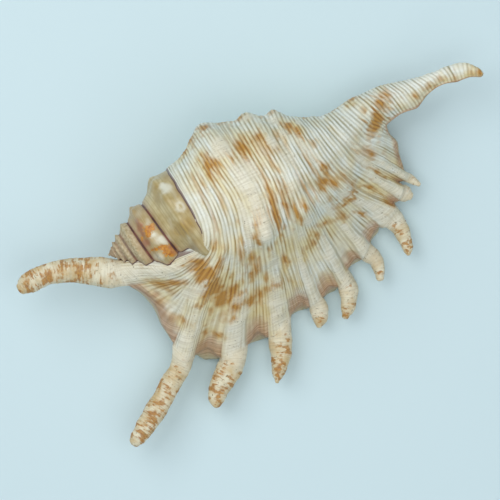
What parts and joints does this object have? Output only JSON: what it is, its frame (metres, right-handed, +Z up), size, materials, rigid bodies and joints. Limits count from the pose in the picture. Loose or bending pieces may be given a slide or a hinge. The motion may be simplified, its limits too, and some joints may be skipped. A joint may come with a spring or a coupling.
{
  "type": "spider conch shell",
  "caption": "Dried spider conch sea shell lying on its opening: knobbed domed back, stepped spire, flared lip with long curved fingers and a drawn-out front canal.",
  "frame": {"origin": "centre of the shell's outline seen from above, at the plane it rests on", "axes": "+X along the shell from the long hind finger to the tip of the front canal, the lip's fingers point to -Y, +Z up out of the back"},
  "size_m": [0.1506, 0.079, 0.0439],
  "materials": {
    "shell": "chalky cream shell with tan and orange-brown markings"
  },
  "bodies": {
    "root": {"spider_conch_shell": "shell"}
  },
  "joints": []
}
